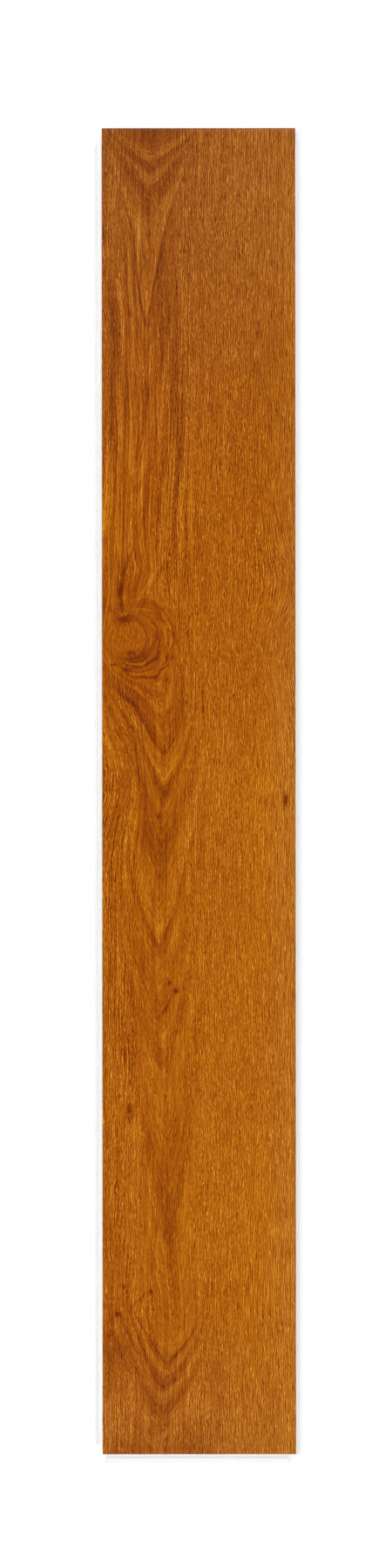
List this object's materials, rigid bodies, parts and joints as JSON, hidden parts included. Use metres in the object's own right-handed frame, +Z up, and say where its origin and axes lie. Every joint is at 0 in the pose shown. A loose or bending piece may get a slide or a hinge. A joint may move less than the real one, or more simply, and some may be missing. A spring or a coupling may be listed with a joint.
{
  "type": "rigid core vinyl plank",
  "caption": "Flat rigid core vinyl floor plank with a printed oak face, a tongue and a lower lip on its long edges, and a hook and an upturned lip on its ends, that clicks into its neighbours.",
  "frame": {"origin": "on the underside, below the centre of the walking face", "axes": "+X across the plank towards the tongue edge, +Y along it towards the hooked end, +Z up out of the printed face"},
  "size_m": [0.1878, 1.228, 0.005],
  "materials": {
    "printed_vinyl": "satin"
  },
  "bodies": {
    "root": {"plank": "printed_vinyl"}
  },
  "joints": []
}
